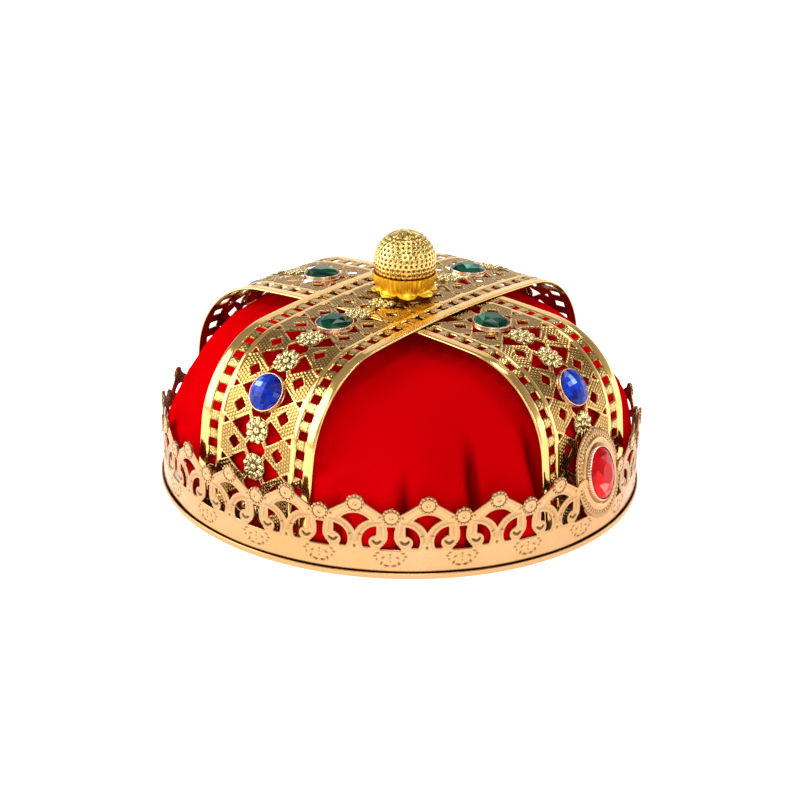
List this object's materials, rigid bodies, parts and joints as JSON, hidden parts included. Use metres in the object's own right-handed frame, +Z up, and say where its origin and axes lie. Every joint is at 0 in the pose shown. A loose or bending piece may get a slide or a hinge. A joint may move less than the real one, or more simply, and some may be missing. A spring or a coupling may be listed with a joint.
{
  "type": "costume crown",
  "caption": "Gold filigree costume crown: scroll-pierced band, two crossed straps over a red cloth cap, set round stones, a front medallion and a studded ball finial.",
  "frame": {"origin": "centre of the round base, on the plane that the hem rests on, which is where the head goes in", "axes": "+Z up through the finial; -Y is the front, where the red medallion is; +X is to the right of someone looking along +Y at the front"},
  "size_m": [0.196, 0.1995, 0.1021],
  "materials": {
    "gold_metal": "polished gold plating on thin stamped sheet, slightly uneven",
    "screw_steel": "plain plated steel",
    "solder": "dull gold solder",
    "red_cloth": "soft red satin, lightly gathered",
    "red_glass": "clear-looking faceted red acrylic with a foil back",
    "green_glass": "dark green faceted acrylic with a foil back",
    "blue_glass": "blue faceted acrylic with a foil back"
  },
  "bodies": {
    "root": {"band": "gold_metal", "band_hem": "gold_metal", "band_seam_rivets": "gold_metal", "strap_lower": "gold_metal", "strap_upper": "gold_metal", "solder_joints": "solder", "cap": "red_cloth", "medallion": "gold_metal", "medallion_post": "solder", "red_bezel": "gold_metal", "red_stone": "red_glass", "green_bezel_1": "gold_metal", "green_bezel_2": "gold_metal", "green_bezel_3": "gold_metal", "green_bezel_4": "gold_metal", "green_stone_1": "green_glass", "green_stone_2": "green_glass", "green_stone_3": "green_glass", "green_stone_4": "green_glass", "blue_bezel_1": "gold_metal", "blue_bezel_2": "gold_metal", "blue_bezel_3": "gold_metal", "blue_bezel_4": "gold_metal", "blue_stone_1": "blue_glass", "blue_stone_2": "blue_glass", "blue_stone_3": "blue_glass", "blue_stone_4": "blue_glass", "finial_ball": "gold_metal", "finial_cup": "gold_metal", "finial_neck": "gold_metal", "finial_washer": "screw_steel", "finial_screw": "screw_steel"}
  },
  "joints": []
}
